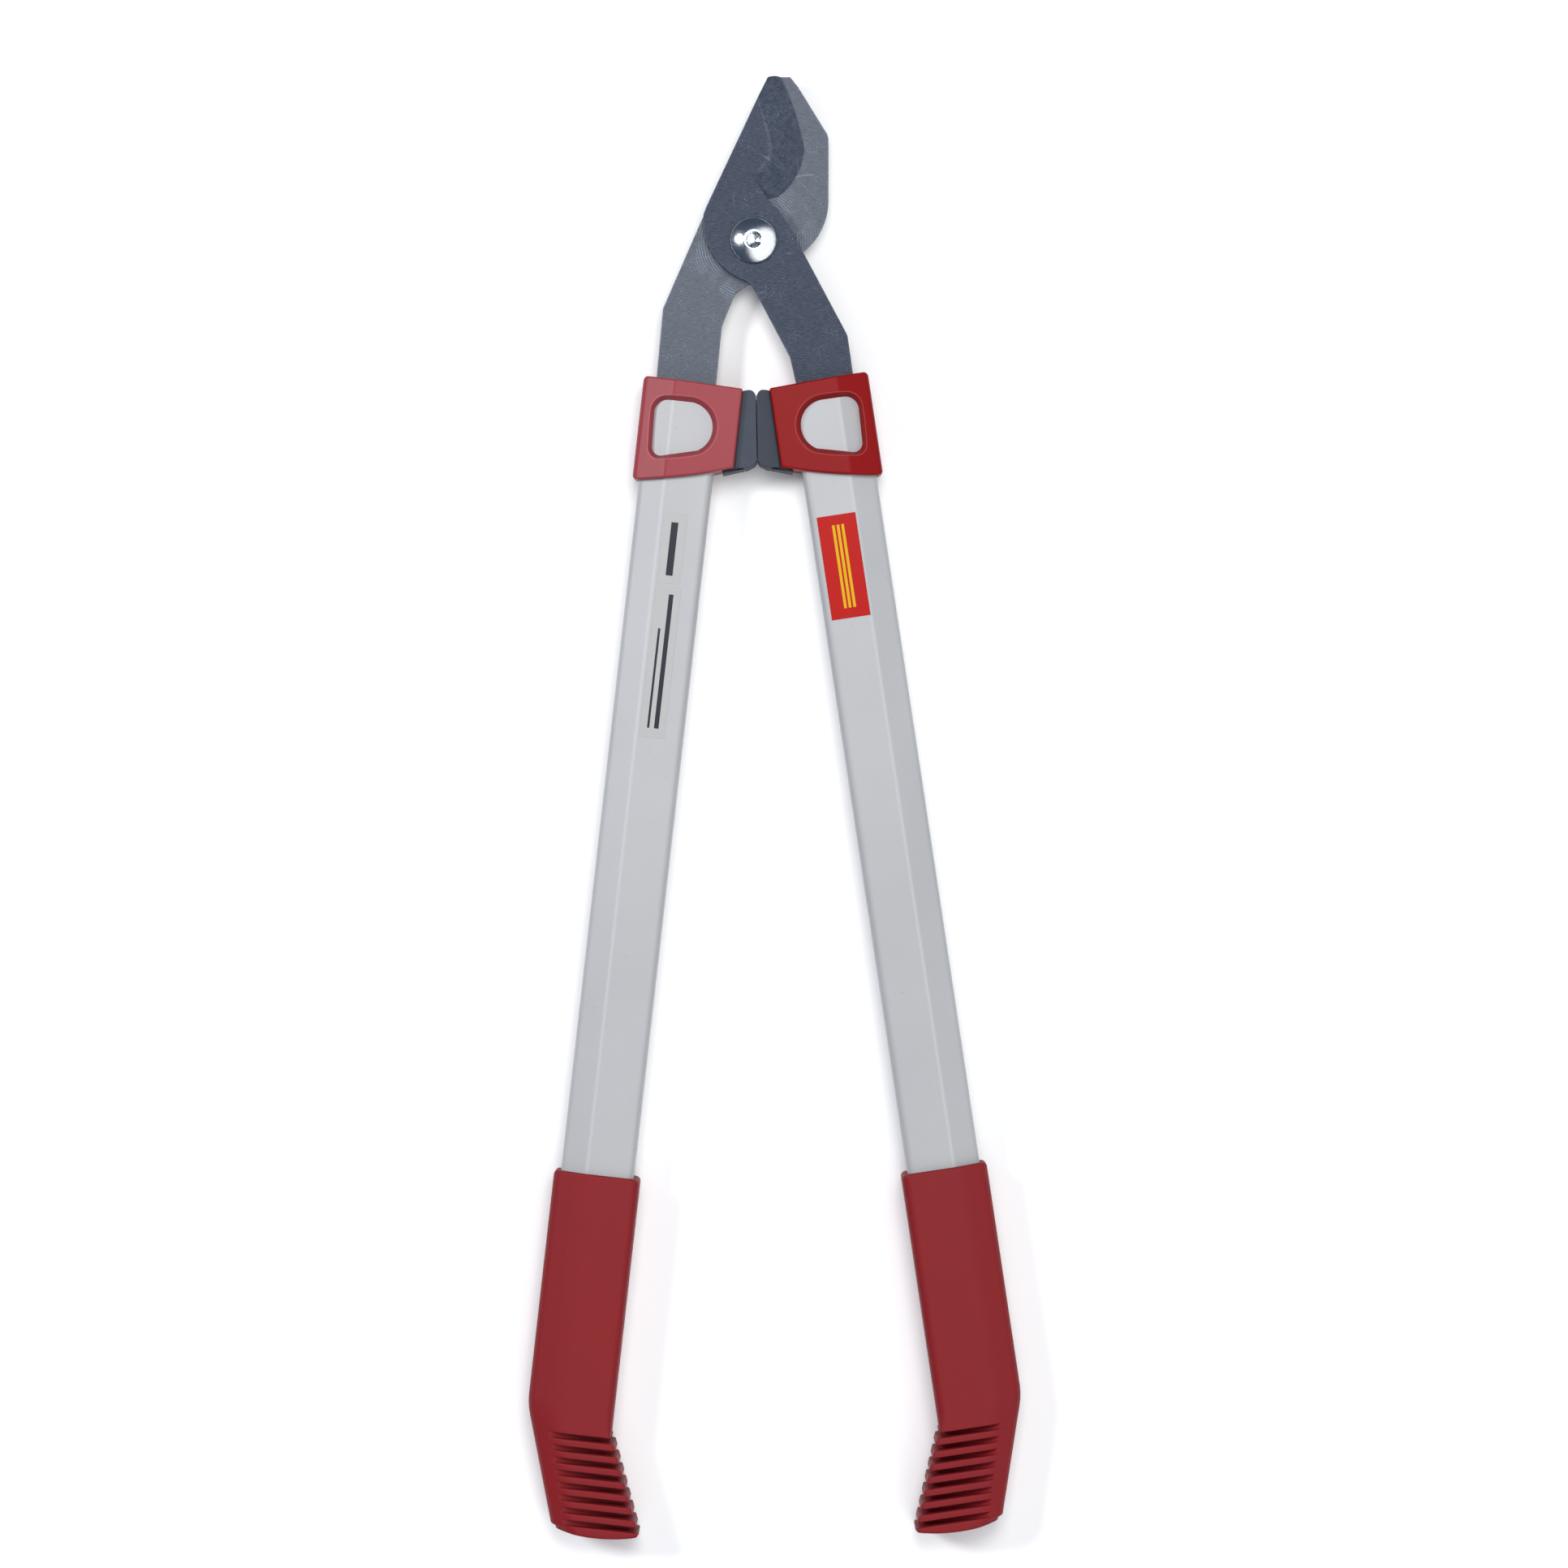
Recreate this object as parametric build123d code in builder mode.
"""Bypass loppers: two bypass blades on one pivot bolt, each with a tang in a long tubular handle.

Frame: +Z is up from the surface that the closed tool lies on, +Y runs towards the blade tips and
+X towards the handle of the cutting blade. The origin is the middle of the base. Millimetres.
"""
import math
import os

from build123d import *

os.makedirs("parts", exist_ok=True)

# ---- Driving dimensions -------------------------------------------------------------------
TIP_REACH = 71.2            # pivot to blade tips, along Y
FOOT_REACH = 557.6          # pivot to the far end of the grips, along Y
PIVOT_Y = (FOOT_REACH - TIP_REACH) / 2

BODY_DEPTH = 27.0           # depth of grips and collars, which the tool rests on
MID_Z = BODY_DEPTH / 2      # the blades meet at this height
BLADE_GAP = 0.1             # play between the two blade faces
BLADE_THICK = 4.5
EDGE_LAND = 0.5             # thickness left at the cutting edge
GRIND_WIDTH = 13.5          # width of the cutting blade's ground face

HANDLE_ANGLE = 7.5          # each handle's lean from the Y axis, degrees
HANDLE_OFFSET = 21.85       # handle axis from the pivot, along X at the pivot's level

TUBE_HALF_WIDTH = 15.7
TUBE_HALF_DEPTH = 10.0
TUBE_EDGE_DEPTH = 5.0       # half depth of the outer edge, past the sloping facet
TUBE_CREASE = 4.4           # where the facet starts, out from the handle axis
TUBE_WALL = 1.4
TUBE_RADII = (3.0, 5.0, 3.0)   # inner corner, crease, outer corner
TUBE_START = 63.8           # distances along a handle are from the pivot's level
TUBE_END = 504.0

TANG_INNER = 12.5           # the tang's sides inside the tube, from the handle axis
TANG_OUTER = 12.2
TANG_END = 114.0
CORE_END = 128.0
PIN_RADIUS = 2.5
PIN_PLACE = 98.0

COLLAR_INNER = 24.4         # inner and outer side of the collar, from the handle axis
COLLAR_OUTER = 18.6
COLLAR_CREASE = 5.0
COLLAR_EDGE_DEPTH = 7.8
COLLAR_TOP = 60.5           # at the outer side
COLLAR_TOP_INNER = 61.8
COLLAR_END_INNER = 96.0
COLLAR_END_OUTER = 105.3
WINDOW_TAPER = 24.0         # the window's walls open outwards, degrees
WINDOW_REACH = 6.0          # how far the windows are cut out past the tube's flats
FIT = 0.05                  # moulded parts on the tube

BUFFER_FACE = 0.25          # half the gap between the two rubber faces
BUFFER_HALF_DEPTH = 10.5
KEY_DEPTH = 3.6             # the buffer's key into the collar

GRIP_HALF_WIDTH = 18.6
GRIP_TOP = 404.6
GRIP_LIP = 516.2            # where the ribs start, on the inner side
GRIP_CREASE = 6.0
GRIP_EDGE_DEPTH = 8.2
RIB_PITCH = 5.25
SLOT_WIDTH = 2.4
SLOT_COUNT = 8
CORE_EDGE = 4.0             # half thickness of the web at the slots' open end

BUSHING_RADIUS = 6.0
BOLT_RADIUS = 4.0
HEAD_RADIUS = 10.0
HEAD_HEIGHT = 4.4
SOCKET_ACROSS_FLATS = 5.0
SOCKET_DEPTH = 3.0
NUT_ACROSS_FLATS = 13.0
NUT_DEPTH = 6.4
RING_DEPTH = 1.6
WASHER_RADIUS = 8.0
WASHER_THICK = 0.8
RUNNING_FIT = 0.05

LABEL_THICK = 0.15
RED_LABEL = (-12.6, 4.2, 119.7, 164.4)      # inner and outer side, near and far end
UPPER_FILM = (-6.9, 3.1, 118.4, 148.4)
LOWER_FILM = (-7.8, 3.2, 149.6, 215.0)

COS = math.cos(math.radians(HANDLE_ANGLE))
SIN = math.sin(math.radians(HANDLE_ANGLE))
CUTTING_BOTTOM = MID_Z + BLADE_GAP / 2
CUTTING_TOP = CUTTING_BOTTOM + BLADE_THICK
HOOK_TOP = MID_Z - BLADE_GAP / 2
HOOK_BOTTOM = HOOK_TOP - BLADE_THICK
HEAD_SEAT = CUTTING_TOP + RUNNING_FIT
NUT_TOP = HOOK_BOTTOM - WASHER_THICK
TURN_OVER = Axis((0, 0, MID_Z), (0, 1, 0))


# ---- Frames -------------------------------------------------------------------------------
def blade_plane(height):
    """Plan view centred on the pivot, at a height above the base."""
    return Plane(origin=(0, PIVOT_Y, height))


def handle_plane(height):
    """Plan view along the right handle: x is outwards, -y is the distance along the handle."""
    return Plane(origin=(HANDLE_OFFSET, PIVOT_Y, height), x_dir=(COS, SIN, 0), z_dir=(0, 0, 1))


def section_plane(distance):
    """Square across the right handle at a distance along it: x is outwards, y is up."""
    start = (HANDLE_OFFSET + distance * SIN, PIVOT_Y - distance * COS, MID_Z)
    return Plane(origin=start, x_dir=(COS, SIN, 0), z_dir=(SIN, -COS, 0))


def beside(side, outwards, distance):
    """Point in the blades' plan view, given along a handle: side is 1 right, -1 left."""
    x = HANDLE_OFFSET + outwards * COS + distance * SIN
    return (side * x, outwards * SIN - distance * COS)


def save(part, label):
    """Label a finished piece and write its STEP file."""
    part.label = label
    export_step(part, f"parts/{label}.step")


def save_pair(part, label):
    """Save a right-hand piece, and the same piece turned over onto the left handle."""
    save(part, f"right_{label}")
    save(part.rotate(TURN_OVER, 180), f"left_{label}")


def faceted_section(inner, crease, outer, half_depth, edge_depth, radii):
    """Six-sided section of a handle piece; radii are at the inner corner, crease and outer edge."""
    corner, soft, edge = radii
    points = [
        (-inner, half_depth), (crease, half_depth), (outer, edge_depth),
        (outer, -edge_depth), (crease, -half_depth), (-inner, -half_depth),
    ]
    with BuildSketch(Plane.XY) as section:
        with BuildLine():
            FilletPolyline(*points, radius=[corner, soft, edge, edge, soft, corner], close=True)
        make_face()
    return section.sketch


def tube_section(grow=0.0):
    """The tube's section, grown or shrunk by an amount all round."""
    slope = math.atan2(TUBE_HALF_DEPTH - TUBE_EDGE_DEPTH, TUBE_HALF_WIDTH - TUBE_CREASE)
    return faceted_section(
        TUBE_HALF_WIDTH + grow,
        TUBE_CREASE + grow * math.tan(slope / 2),
        TUBE_HALF_WIDTH + grow,
        TUBE_HALF_DEPTH + grow,
        TUBE_EDGE_DEPTH + grow * math.tan((math.pi / 2 - slope) / 2),
        [radius + grow for radius in TUBE_RADII],
    )


# ---- Blades -------------------------------------------------------------------------------
with BuildLine() as cutting_edge:
    belly = ThreePointArc((13.0, 70.7), (18.9, 55.6), (22.5, 40.0))
    heel = ThreePointArc(belly @ 1, (19.6, 29.2), (10.5, 18.9))


def ground_face(arc, zone):
    """What is ground away along one arc of the cutting edge: a cone about the arc's centre."""
    centre = arc.arc_center + Vector(0, PIVOT_Y, 0)
    rise = (BLADE_THICK - EDGE_LAND) / GRIND_WIDTH
    spare = 3
    with BuildPart() as waste:
        with BuildSketch(blade_plane(CUTTING_BOTTOM)):
            with BuildLine():
                Polyline(*zone, close=True)
            make_face()
        extrude(amount=BLADE_THICK + spare)
        with BuildSketch(Plane((centre.X, centre.Y, CUTTING_BOTTOM), (1, 0, 0), (0, -1, 0))):
            with BuildLine():
                Polyline(
                    (arc.radius + spare, EDGE_LAND),
                    (arc.radius, EDGE_LAND),
                    (arc.radius - GRIND_WIDTH - spare, BLADE_THICK + spare * rise),
                    (arc.radius + spare, BLADE_THICK + spare * rise),
                    close=True,
                )
            make_face()
        revolve(axis=Axis((centre.X, centre.Y, 0), (0, 0, 1)), mode=Mode.INTERSECT)
    return waste.part


BELLY_ZONE = [(-4.0, 60.0), (7.0, 75.0), (30.0, 75.0), (30.0, 39.6), (8.6, 40.6)]
HEEL_ZONE = [
    (30.0, 39.6), (8.6, 40.6), (-6.0, 40.0), (-1.2, 29.2), (0.3, 27.4), (6.3, 18.0), (12.0, 15.0),
]
belly_waste = ground_face(belly, BELLY_ZONE)
heel_waste = ground_face(heel, HEEL_ZONE)

with BuildPart() as cutting_blade:
    with BuildSketch(blade_plane(CUTTING_BOTTOM)):
        with BuildLine():
            add(cutting_edge.line)
            tip = ThreePointArc((7.4, 70.6), (10.2, TIP_REACH), belly @ 0)
            Polyline(heel @ 1, (8.6, 18.9), (6.3, 18.0))
            hub = ThreePointArc((6.3, 18.0), (15.3, 6.9), (21.1, -4.9))
            FilletPolyline(
                hub @ 1,
                (39.8, -41.6),
                beside(1, TANG_OUTER, TUBE_START - 1.5),
                beside(1, TANG_OUTER, TANG_END),
                beside(1, -TANG_INNER, TANG_END),
                beside(1, -TANG_INNER, TUBE_START - 1.5),
                (14.9, -50.5),
                (0.1, -21.2),
                radius=[5.0, 1.0, 2.0, 2.0, 1.0, 5.0],
            )
            crotch = FilletPolyline((0.1, -21.2), (-1.6, -18.5), (-4.0, -17.1), radius=1.2)
            back = ThreePointArc(crotch @ 1, (-18.6, -4.0), (-21.3, 11.7))
            Polyline(back @ 1, (-20.0, 15.0), tip @ 0)
        make_face()
    extrude(amount=BLADE_THICK)
    with BuildSketch(blade_plane(0)):
        with Locations(beside(1, 0, PIN_PLACE)):
            Circle(PIN_RADIUS)
        Circle(BUSHING_RADIUS + RUNNING_FIT)
    extrude(amount=BODY_DEPTH, mode=Mode.SUBTRACT)
    add(belly_waste, mode=Mode.SUBTRACT)
    add(heel_waste, mode=Mode.SUBTRACT)
save(cutting_blade.part, "cutting_blade")

with BuildPart() as hook_blade:
    with BuildSketch(blade_plane(HOOK_BOTTOM)):
        with BuildLine():
            nose = Polyline((11.2, 69.6), (12.6, 70.8), (17.2, 70.8), (20.5, 66.4), (31.8, 47.3))
            shoulder = ThreePointArc(nose @ 1, (32.9, 45.1), (33.2, 42.6))
            side = Line(shoulder @ 1, (32.7, 16.0))
            flank = ThreePointArc(side @ 1, (30.3, 6.4), (21.1, -4.9))
            belly = ThreePointArc(flank @ 1, (10.5, -14.5), (-3.0, -18.4))
            tang = FilletPolyline(
                belly @ 1,
                (-8.6, -22.4),
                (-14.4, -36.2),
                beside(-1, -TANG_INNER, TUBE_START - 1.5),
                beside(-1, -TANG_INNER, TANG_END),
                beside(-1, TANG_OUTER, TANG_END),
                beside(-1, TANG_OUTER, TUBE_START - 1.0),
                beside(-1, TANG_OUTER + 1.1, TUBE_START - 3.4),
                (-39.6, -28.2),
                (-21.3, 11.7),
                (-13.0, 17.0),
                (1.5, 17.4),
                radius=[4.0, 4.0, 1.0, 2.0, 2.0, 0.5, 1.0, 5.0, 6.0, 5.0],
            )
            throat = ThreePointArc(tang @ 1, (15.2, 30.0), (18.3, 40.4))
            ThreePointArc(throat @ 1, (16.6, 55.4), nose @ 0)
        make_face()
    extrude(amount=BLADE_THICK)
    with BuildSketch(blade_plane(0)):
        with Locations(beside(-1, 0, PIN_PLACE)):
            Circle(PIN_RADIUS)
        Circle(BUSHING_RADIUS)
    extrude(amount=BODY_DEPTH, mode=Mode.SUBTRACT)
save(hook_blade.part, "hook_blade")

# ---- Pivot --------------------------------------------------------------------------------
with BuildPart() as pivot_bushing:
    with BuildSketch(blade_plane(HOOK_BOTTOM)):
        Circle(BUSHING_RADIUS)
        Circle(BOLT_RADIUS, mode=Mode.SUBTRACT)
    extrude(amount=HEAD_SEAT - HOOK_BOTTOM)
save(pivot_bushing.part, "pivot_bushing")

with BuildPart() as pivot_bolt:
    with BuildSketch(Plane(origin=(0, PIVOT_Y, HEAD_SEAT), x_dir=(1, 0, 0), z_dir=(0, -1, 0))):
        with BuildLine():
            foot = Polyline((0, 0), (HEAD_RADIUS - 0.3, 0), (HEAD_RADIUS, 0.3), (HEAD_RADIUS, 0.9))
            dome = ThreePointArc(foot @ 1, (7.4, 3.3), (4.2, HEAD_HEIGHT))
            dish = ThreePointArc(dome @ 1, (2.4, HEAD_HEIGHT - 0.35), (0, HEAD_HEIGHT - 0.45))
            Line(dish @ 1, foot @ 0)
        make_face()
    revolve(axis=Axis((0, PIVOT_Y, 0), (0, 0, 1)))
    with BuildSketch(blade_plane(HEAD_SEAT)):
        Circle(BOLT_RADIUS)
    extrude(amount=-(HEAD_SEAT - NUT_TOP + NUT_DEPTH + 0.6))
    with BuildSketch(blade_plane(HEAD_SEAT + HEAD_HEIGHT)):
        RegularPolygon(SOCKET_ACROSS_FLATS / 2, 6, major_radius=False, rotation=12)
    extrude(amount=-SOCKET_DEPTH, mode=Mode.SUBTRACT)
    chamfer(pivot_bolt.faces().sort_by(Axis.Z)[0].edges(), 0.8)
save(pivot_bolt.part, "pivot_bolt")

with BuildPart() as wave_washer:
    with BuildSketch(blade_plane(NUT_TOP)):
        Circle(WASHER_RADIUS)
        Circle(BOLT_RADIUS + 0.2, mode=Mode.SUBTRACT)
    extrude(amount=WASHER_THICK)
save(wave_washer.part, "wave_washer")

with BuildPart() as lock_nut:
    with BuildSketch(blade_plane(NUT_TOP)):
        RegularPolygon(NUT_ACROSS_FLATS / 2, 6, major_radius=False, rotation=20)
    extrude(amount=RING_DEPTH - NUT_DEPTH)
    with BuildSketch(blade_plane(NUT_TOP)):
        Circle(NUT_ACROSS_FLATS / 2 - 0.6)
    extrude(amount=-NUT_DEPTH)
    with BuildSketch(blade_plane(NUT_TOP)):
        Circle(BOLT_RADIUS)
    extrude(amount=-NUT_DEPTH, mode=Mode.SUBTRACT)
    with BuildSketch(blade_plane(NUT_TOP - NUT_DEPTH)):
        Circle(BOLT_RADIUS + 1.1)
    extrude(amount=RING_DEPTH, mode=Mode.SUBTRACT)
save(lock_nut.part, "lock_nut")

with BuildPart() as nut_ring:
    with BuildSketch(blade_plane(NUT_TOP - NUT_DEPTH)):
        Circle(BOLT_RADIUS + 1.1)
        Circle(BOLT_RADIUS, mode=Mode.SUBTRACT)
    extrude(amount=RING_DEPTH)
save(nut_ring.part, "nut_ring")

# ---- Handle tube, and what holds the tang in it ---------------------------------------------
with BuildPart() as handle_tube:
    with BuildSketch(section_plane(TUBE_START)):
        add(tube_section())
        add(tube_section(-TUBE_WALL), mode=Mode.SUBTRACT)
    extrude(amount=TUBE_END - TUBE_START)
    with BuildSketch(handle_plane(0)):
        with Locations((0, -PIN_PLACE)):
            Circle(PIN_RADIUS)
    extrude(amount=BODY_DEPTH, mode=Mode.SUBTRACT)
save_pair(handle_tube.part, "handle_tube")

with BuildPart() as tang_core:
    with BuildSketch(section_plane(TUBE_START)):
        add(tube_section(-TUBE_WALL))
    extrude(amount=CORE_END - TUBE_START)
    with BuildSketch(handle_plane(CUTTING_BOTTOM)):
        with BuildLine():
            Polyline(
                (-TANG_INNER, -TANG_END), (TANG_OUTER, -TANG_END),
                (TANG_OUTER, -COLLAR_TOP), (-TANG_INNER, -COLLAR_TOP), close=True,
            )
        make_face()
    extrude(amount=BLADE_THICK, mode=Mode.SUBTRACT)
    with BuildSketch(handle_plane(0)):
        with Locations((0, -PIN_PLACE)):
            Circle(PIN_RADIUS)
    extrude(amount=BODY_DEPTH, mode=Mode.SUBTRACT)
save_pair(tang_core.part, "tang_core")

with BuildPart() as tang_pin:
    with BuildSketch(handle_plane(MID_Z - TUBE_HALF_DEPTH)):
        with Locations((0, -PIN_PLACE)):
            Circle(PIN_RADIUS)
    extrude(amount=2 * TUBE_HALF_DEPTH)
save_pair(tang_pin.part, "tang_pin")

# ---- Collar and buffer ----------------------------------------------------------------------
with BuildPart() as collar:
    with BuildSketch(section_plane(COLLAR_TOP)):
        add(faceted_section(
            COLLAR_INNER, COLLAR_CREASE, COLLAR_OUTER,
            BODY_DEPTH / 2, COLLAR_EDGE_DEPTH, (1.0, 5.0, 3.0),
        ))
    extrude(amount=COLLAR_END_OUTER - COLLAR_TOP + 2)
    with BuildSketch(handle_plane(0)):
        with BuildLine():
            ends = FilletPolyline(
                (-COLLAR_INNER, -COLLAR_END_INNER),
                (-COLLAR_INNER, -COLLAR_TOP_INNER),
                (COLLAR_OUTER, -COLLAR_TOP),
                (COLLAR_OUTER, -COLLAR_END_OUTER + 0.6),
                (COLLAR_OUTER - 2, -COLLAR_END_OUTER),
                radius=[0.8, 1.4, 1.2],
            )
            ThreePointArc(ends @ 1, (-3.0, -102.0), ends @ 0)
        make_face()
    extrude(amount=BODY_DEPTH, mode=Mode.INTERSECT)
    with BuildSketch(section_plane(TUBE_START)):
        add(tube_section(FIT))
    extrude(amount=COLLAR_END_OUTER - TUBE_START + 2, mode=Mode.SUBTRACT)
    with BuildSketch(section_plane(COLLAR_TOP)):
        with Locations((0, (BLADE_GAP + BLADE_THICK) / 2)):
            Rectangle(2 * TANG_INNER + 1.6, BLADE_THICK + 0.4)
    extrude(amount=TUBE_START - COLLAR_TOP, mode=Mode.SUBTRACT)
    for direction in (1, -1):
        with BuildSketch(handle_plane(MID_Z + direction * TUBE_HALF_DEPTH)) as window:
            with BuildLine():
                outer = Line((11.8, -90.0), (12.4, -75.5))
                shoulder = ThreePointArc(outer @ 1, (10.6, -71.4), (7.0, -69.9))
                near = Line(shoulder @ 1, (-3.6, -69.9))
                inner = ThreePointArc(near @ 1, (-13.4, -79.9), (-8.0, -90.2))
                far = Line(inner @ 1, (6.6, -93.9))
                ThreePointArc(far @ 1, (10.4, -93.1), outer @ 0)
            make_face()
        extrude(amount=direction * WINDOW_REACH, taper=-WINDOW_TAPER, mode=Mode.SUBTRACT)
        down_to_facet = direction * (TUBE_EDGE_DEPTH - TUBE_HALF_DEPTH)
        extrude(window.sketch, amount=down_to_facet, mode=Mode.SUBTRACT)
    with BuildSketch(section_plane(72)):
        with Locations((-COLLAR_INNER, 0)):
            Rectangle(2 * KEY_DEPTH, 9)
    extrude(amount=16, mode=Mode.SUBTRACT)
save_pair(collar.part, "collar")

with BuildPart() as buffer:
    with BuildSketch(blade_plane(MID_Z - BUFFER_HALF_DEPTH)):
        with BuildLine():
            face = FilletPolyline(
                beside(1, -COLLAR_INNER, COLLAR_TOP_INNER + 0.8),
                (BUFFER_FACE + 1.4, -64.6),
                (BUFFER_FACE, -67.4),
                (BUFFER_FACE, -96.4),
                (BUFFER_FACE + 4.2, -98.6),
                (15.6, -101.2),
                (16.0, -99.9),
                beside(1, -COLLAR_INNER, COLLAR_END_INNER),
                radius=[2.0, 2.0, 3.0, 3.0, 0.3, 0.3],
            )
            Line(face @ 1, face @ 0)
        make_face()
    extrude(amount=2 * BUFFER_HALF_DEPTH)
    with BuildSketch(section_plane(72)):
        with Locations((-COLLAR_INNER + KEY_DEPTH / 2, 0)):
            Rectangle(KEY_DEPTH, 9)
    extrude(amount=16)
save_pair(buffer.part, "buffer")

# ---- Grip -----------------------------------------------------------------------------------
TOE = 36.0                  # inner reach of the grip's foot, from the handle axis

with BuildPart() as grip:
    for inner, start, end in ((GRIP_HALF_WIDTH, GRIP_TOP, GRIP_LIP), (TOE, GRIP_LIP, 561.0)):
        with BuildSketch(section_plane(start)):
            add(faceted_section(
                inner, GRIP_CREASE, GRIP_HALF_WIDTH,
                BODY_DEPTH / 2, GRIP_EDGE_DEPTH, (4.0, 8.0, 5.0),
            ))
        extrude(amount=end - start)
    with BuildSketch(handle_plane(0)):
        with BuildLine():
            top = FilletPolyline(
                (-GRIP_HALF_WIDTH, -GRIP_LIP), (-GRIP_HALF_WIDTH, -GRIP_TOP),
                (GRIP_HALF_WIDTH, -GRIP_TOP), (GRIP_HALF_WIDTH, -506.0), (3.0, -555.8),
                (0.4, -557.6), radius=[2.0, 2.0, 30.0, 1.5],
            )
            foot = ThreePointArc(top @ 1, (-16.0, -559.6), (-34.0, -557.4))
            toe = ThreePointArc(foot @ 1, (-35.5, -556.2), (-34.6, -554.4))
            Polyline(toe @ 1, (-19.4, -GRIP_LIP), top @ 0)
        make_face()
    extrude(amount=BODY_DEPTH, mode=Mode.INTERSECT)
    with BuildSketch(section_plane(GRIP_TOP)):
        add(tube_section(FIT))
    extrude(amount=TUBE_END - GRIP_TOP + FIT, mode=Mode.SUBTRACT)
    for number in range(SLOT_COUNT):
        distance = GRIP_LIP + number * RIB_PITCH
        shallow = 8.6 - number * 1.5
        web = -18.2 - number * 1.85
        with BuildSketch(section_plane(distance)):
            with BuildLine():
                Polyline(
                    (shallow, MID_Z + 1), (-TOE - 4, MID_Z + 1),
                    (-TOE - 4, -MID_Z - 1), (shallow, -MID_Z - 1),
                    (shallow, -MID_Z), (web, -CORE_EDGE), (web, CORE_EDGE), (shallow, MID_Z),
                    close=True,
                )
            make_face()
        extrude(amount=SLOT_WIDTH, mode=Mode.SUBTRACT)
save_pair(grip.part, "grip")

# ---- Labels on the tubes' upper flats -------------------------------------------------------
for label, side, (inner, outer, near, far) in (
    ("product_label", 1, RED_LABEL),
    ("upper_film_label", -1, UPPER_FILM),
    ("lower_film_label", -1, LOWER_FILM),
):
    with BuildPart() as sticker:
        with BuildSketch(blade_plane(MID_Z + TUBE_HALF_DEPTH)):
            with BuildLine():
                Polyline(
                    beside(side, inner, near), beside(side, outer, near),
                    beside(side, outer, far), beside(side, inner, far), close=True,
                )
            make_face()
        extrude(amount=LABEL_THICK)
    save(sticker.part, label)
